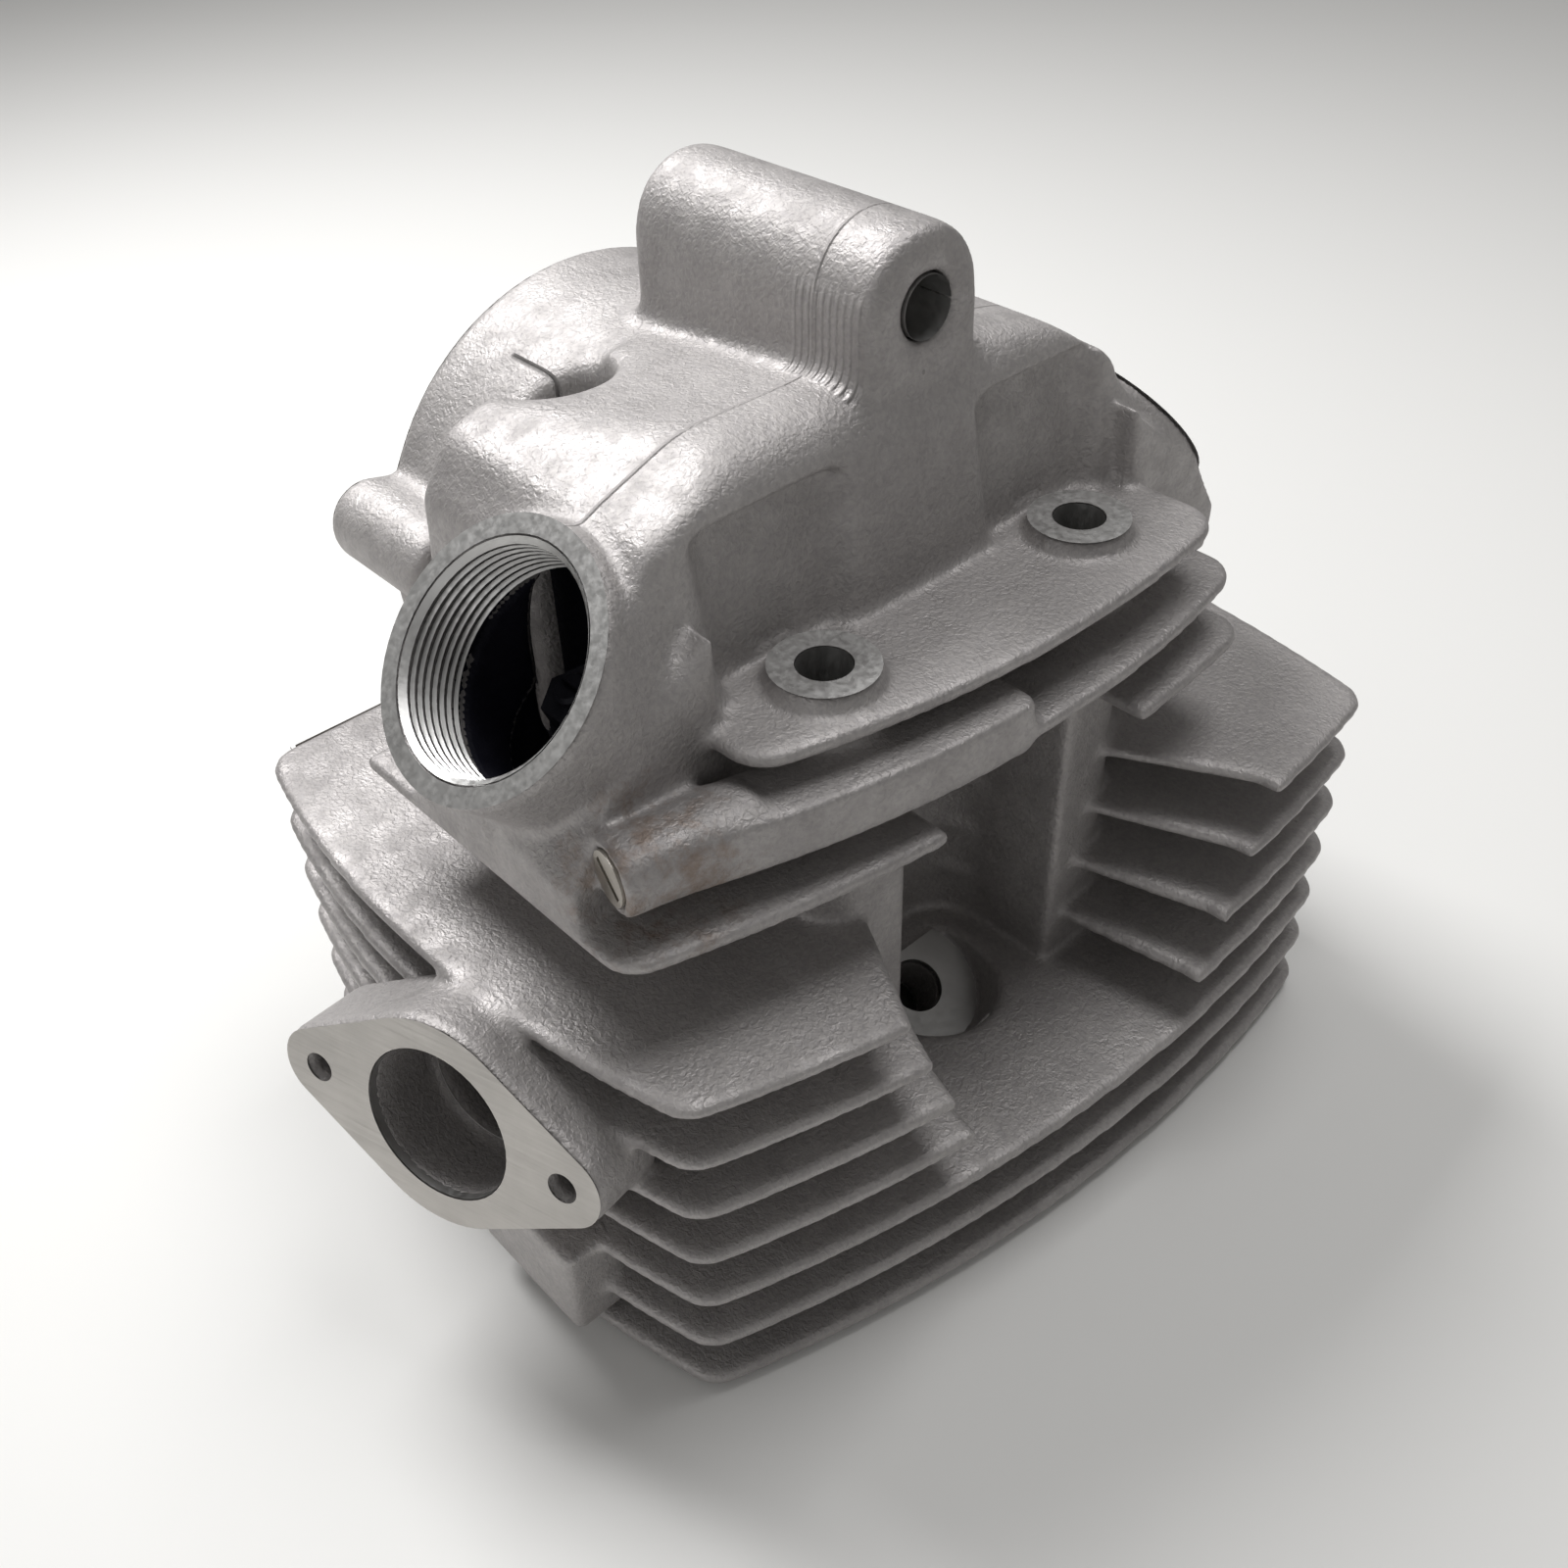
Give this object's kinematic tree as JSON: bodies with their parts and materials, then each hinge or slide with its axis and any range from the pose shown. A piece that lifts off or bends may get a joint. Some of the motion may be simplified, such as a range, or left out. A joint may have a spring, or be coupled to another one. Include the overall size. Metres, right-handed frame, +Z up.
{
  "type": "engine cylinder head",
  "caption": "Finned air-cooled overhead-camshaft cylinder head for a small single-cylinder engine, with camshaft, rockers, valves and springs inside.",
  "frame": {"origin": "cylinder axis on the gasket face", "axes": "+Z up the cylinder axis, +X towards the spark plug, -X towards the cam chain, -Y intake, +Y exhaust"},
  "size_m": [0.1378, 0.2031, 0.1759],
  "materials": {
    "cast_aluminium": "as-cast, grainy, with machined faces",
    "valve_steel": "ground stem, dull head",
    "dark_steel": "oiled, blackened",
    "spring_steel": "shot-peened, oiled",
    "ground_steel": "ground",
    "iron": "turned",
    "seal_rubber": "matt",
    "plug_steel": "slightly stained"
  },
  "bodies": {
    "head": {"head_casting": "cast_aluminium", "intake_valve_seat": "iron", "intake_valve_guide": "iron", "intake_spring_seat": "dark_steel", "intake_stem_seal": "seal_rubber", "intake_outer_spring": "spring_steel", "intake_inner_spring": "spring_steel", "intake_rocker_shaft": "ground_steel", "exhaust_valve_seat": "iron", "exhaust_valve_guide": "iron", "exhaust_spring_seat": "dark_steel", "exhaust_stem_seal": "seal_rubber", "exhaust_outer_spring": "spring_steel", "exhaust_inner_spring": "spring_steel", "exhaust_rocker_shaft": "ground_steel", "bearing_outer_ring": "ground_steel", "rocker_shaft_retainer": "dark_steel", "retainer_screw": "dark_steel", "oil_gallery_plug": "plug_steel"},
    "camshaft_assembly": {"camshaft": "iron", "cam_sprocket": "dark_steel", "sprocket_bolts": "dark_steel", "bearing_inner_ring": "ground_steel"},
    "bearing_ball_set": {"bearing_balls": "ground_steel", "bearing_cage": "dark_steel"},
    "intake_rocker": {"intake_rocker_arm": "dark_steel", "intake_adjuster_screw": "dark_steel", "intake_adjuster_lock_nut": "dark_steel"},
    "intake_valve_set": {"intake_valve": "valve_steel", "intake_spring_retainer": "dark_steel", "intake_valve_collets": "dark_steel"},
    "exhaust_rocker": {"exhaust_rocker_arm": "dark_steel", "exhaust_adjuster_screw": "dark_steel", "exhaust_adjuster_lock_nut": "dark_steel"},
    "exhaust_valve_set": {"exhaust_valve": "valve_steel", "exhaust_spring_retainer": "dark_steel", "exhaust_valve_collets": "dark_steel"}
  },
  "joints": [
    {"name": "camshaft_turn", "type": "hinge", "parent": "head", "child": "camshaft_assembly", "pos_m": [0, 0, 0.1025], "axis": [1, 0, 0], "range_deg": [-55, 55]},
    {"name": "bearing_balls_turn", "type": "hinge", "parent": "head", "child": "bearing_ball_set", "pos_m": [-0.038, 0, 0.1025], "axis": [1, 0, 0], "range_deg": [-22.5, 22.5]},
    {"name": "intake_rocker_turn", "type": "hinge", "parent": "head", "child": "intake_rocker", "pos_m": [0, -0.013, 0.131], "axis": [1, 0, 0], "range_deg": [0, 9.3]},
    {"name": "intake_valve_slide", "type": "slide", "parent": "head", "child": "intake_valve_set", "axis": [0, 0.3746, -0.9272], "range_m": [0, 0.0074], "deforming": ["intake_outer_spring", "intake_inner_spring"]},
    {"name": "exhaust_rocker_turn", "type": "hinge", "parent": "head", "child": "exhaust_rocker", "pos_m": [0, 0.013, 0.131], "axis": [-1, 0, 0], "range_deg": [0, 9.3]},
    {"name": "exhaust_valve_slide", "type": "slide", "parent": "head", "child": "exhaust_valve_set", "axis": [0, -0.3746, -0.9272], "range_m": [0, 0.0074], "deforming": ["exhaust_outer_spring", "exhaust_inner_spring"]}
  ],
  "couplings": [
    {"joint": "bearing_balls_turn", "follows": "camshaft_turn", "ratio": 0.4},
    {"joint": "intake_valve_slide", "follows": "intake_rocker_turn", "m_per_rad": 0.0454},
    {"joint": "exhaust_valve_slide", "follows": "exhaust_rocker_turn", "m_per_rad": 0.0454}
  ]
}
